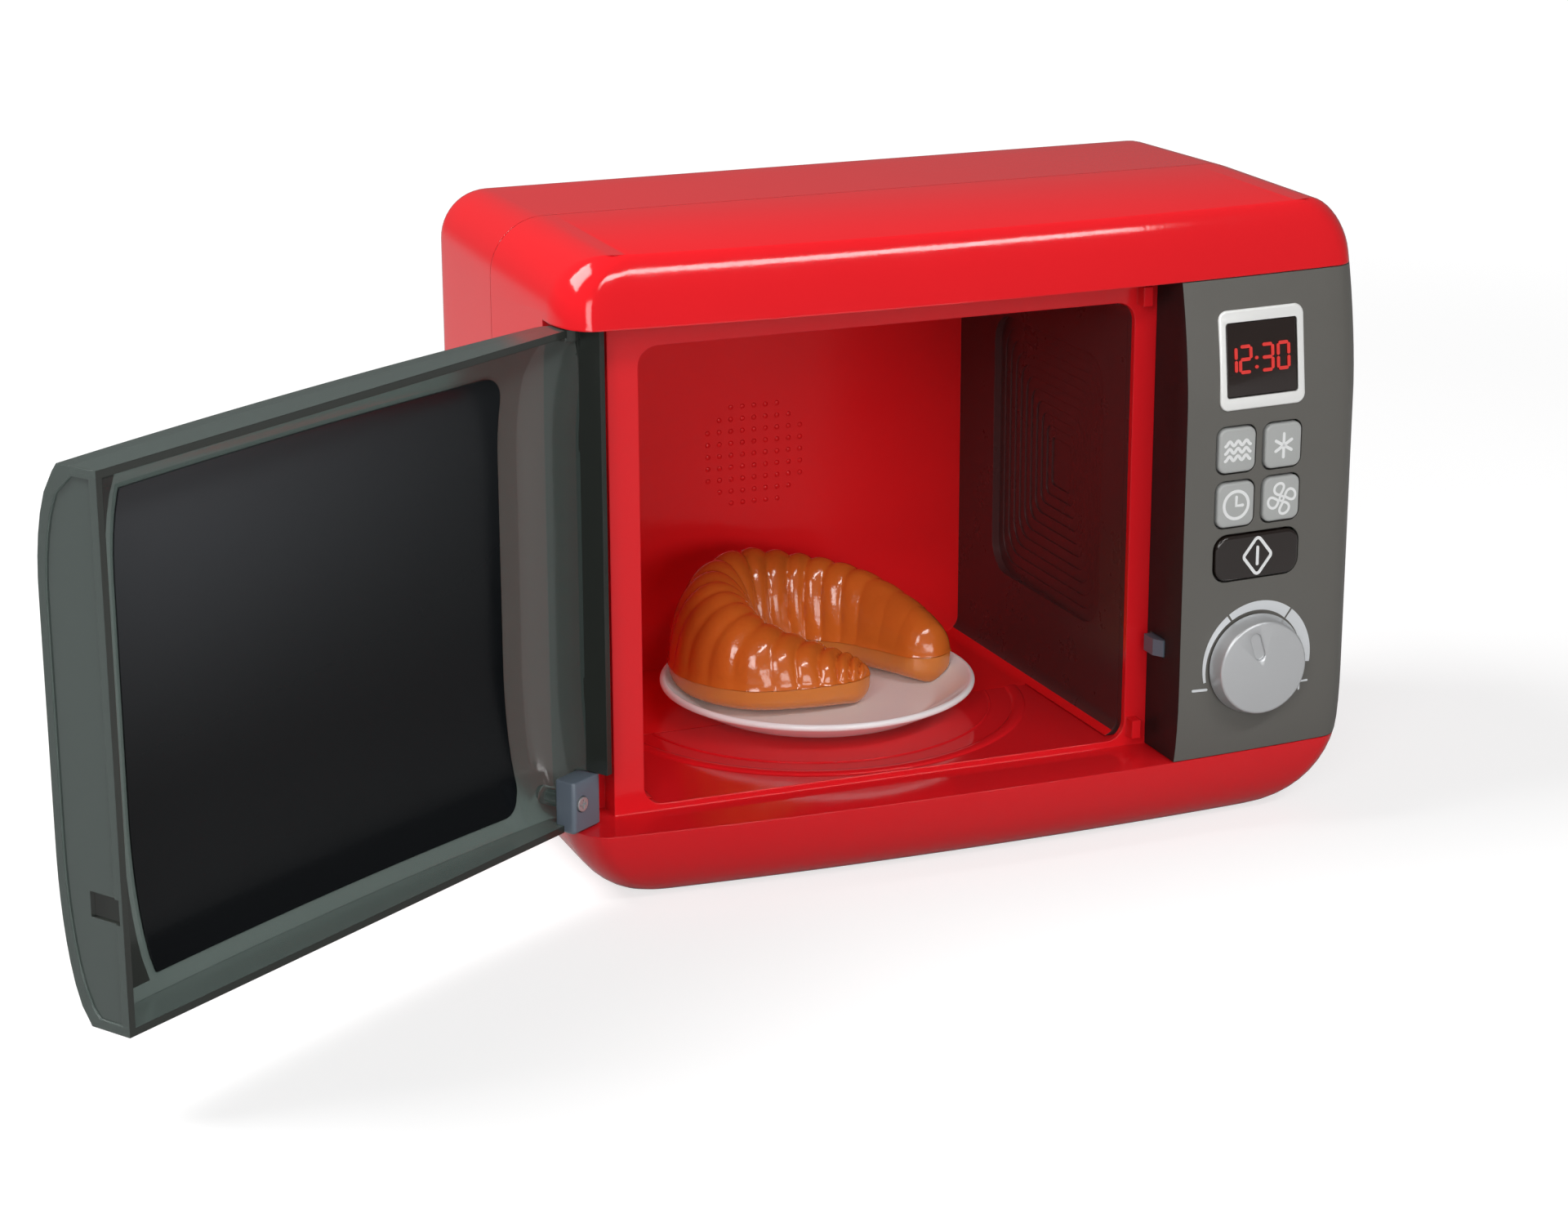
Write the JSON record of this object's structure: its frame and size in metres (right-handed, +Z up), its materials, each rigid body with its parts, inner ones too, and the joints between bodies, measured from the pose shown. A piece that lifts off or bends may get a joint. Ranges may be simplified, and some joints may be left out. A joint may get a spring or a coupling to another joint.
{
  "type": "toy microwave",
  "caption": "Red toy microwave with a smoked swing door, sprung latch, keys, timer knob, and a plate with a croissant.",
  "frame": {"origin": "centre of the flat underside of the housing", "axes": "+Z up, the front with its door faces -Y, +X to the right as seen from the front"},
  "size_m": [0.4909, 0.2727, 0.228],
  "materials": {
    "body_red": "glossy red moulding",
    "cavity_red": "semi-gloss deep red moulding",
    "panel_grey": "satin warm dark grey",
    "silver": "satin silver paint",
    "display_dark": "smoked see-through, glossy",
    "key_grey": "light grey, satin",
    "door_smoke": "smoked see-through plastic, glossy",
    "film_dark": "printed film, glossy",
    "blue_grey": "satin blue-grey",
    "steel": "zinc plated",
    "inner_black": "matt black",
    "board_green": "solder mask",
    "rubber_grey": "matt silicone",
    "lamp_amber": "clear tinted",
    "cell_wrap": "plain wrap",
    "plate_white": "glossy white",
    "crust": "glossy golden brown",
    "crumb": "glossy light brown"
  },
  "bodies": {
    "root": {"front_housing": "body_red", "rear_housing": "body_red", "cavity_liner": "cavity_red", "control_panel": "panel_grey", "display_bezel": "silver", "display_window": "display_dark", "rotary_switch": "inner_black", "circuit_board": "board_green", "key_mat": "rubber_grey", "lamp_left": "lamp_amber", "lamp_right": "lamp_amber", "latch_spring": "steel", "housing_screw_1": "steel", "housing_screw_2": "steel", "housing_screw_3": "steel", "housing_screw_4": "steel", "battery_box": "inner_black", "contact_strip_low": "steel", "contact_strip_high": "steel", "battery_1": "cell_wrap", "battery_2": "cell_wrap", "battery_3": "cell_wrap", "speaker": "inner_black"},
    "door": {"door_shell": "door_smoke", "door_film": "film_dark", "hinge_block": "blue_grey", "hinge_screw": "steel"},
    "latch_body": {"latch": "blue_grey"},
    "microwave_key_body": {"microwave_key": "key_grey"},
    "defrost_key_body": {"defrost_key": "key_grey"},
    "clock_key_body": {"clock_key": "key_grey"},
    "fan_key_body": {"fan_key": "key_grey"},
    "start_button_body": {"start_button": "display_dark"},
    "knob_body": {"timer_knob": "silver"},
    "plate_body": {"plate": "plate_white"},
    "croissant_body": {"croissant_top": "crust", "croissant_base": "crumb"},
    "cover_body": {"battery_cover": "body_red", "battery_cover_screw": "steel"}
  },
  "joints": [
    {"name": "door_hinge", "type": "hinge", "parent": "root", "child": "door", "pos_m": [-0.145, -0.063, 0.029], "axis": [0, 0, 1], "range_deg": [0, 146.6]},
    {"name": "latch_slide", "type": "slide", "parent": "root", "child": "latch_body", "axis": [1, 0, 0], "range_m": [0, 0.003], "stiffness_N_per_m": 300, "springref_m": -0.002},
    {"name": "microwave_key_press", "type": "slide", "parent": "root", "child": "microwave_key_body", "axis": [0, 1, 0], "range_m": [0, 0.0012], "stiffness_N_per_m": 600, "springref_m": -0.0008},
    {"name": "defrost_key_press", "type": "slide", "parent": "root", "child": "defrost_key_body", "axis": [0, 1, 0], "range_m": [0, 0.0012], "stiffness_N_per_m": 600, "springref_m": -0.0008},
    {"name": "clock_key_press", "type": "slide", "parent": "root", "child": "clock_key_body", "axis": [0, 1, 0], "range_m": [0, 0.0012], "stiffness_N_per_m": 600, "springref_m": -0.0008},
    {"name": "fan_key_press", "type": "slide", "parent": "root", "child": "fan_key_body", "axis": [0, 1, 0], "range_m": [0, 0.0012], "stiffness_N_per_m": 600, "springref_m": -0.0008},
    {"name": "start_button_press", "type": "slide", "parent": "root", "child": "start_button_body", "axis": [0, 1, 0], "range_m": [0, 0.0012], "stiffness_N_per_m": 600, "springref_m": -0.0008},
    {"name": "knob_turn", "type": "hinge", "parent": "root", "child": "knob_body", "pos_m": [0.105, -0.0865, 0.064], "axis": [0, 1, 0], "range_deg": [-98, 128]},
    {"name": "plate_lift", "type": "slide", "parent": "root", "child": "plate_body", "axis": [0, 0, 1], "range_m": [0, 0.05]},
    {"name": "croissant_lift", "type": "slide", "parent": "plate_body", "child": "croissant_body", "axis": [0, 0, 1], "range_m": [0, 0.05]},
    {"name": "cover_off", "type": "slide", "parent": "root", "child": "cover_body", "axis": [0, 1, 0], "range_m": [0, 0.03]}
  ]
}
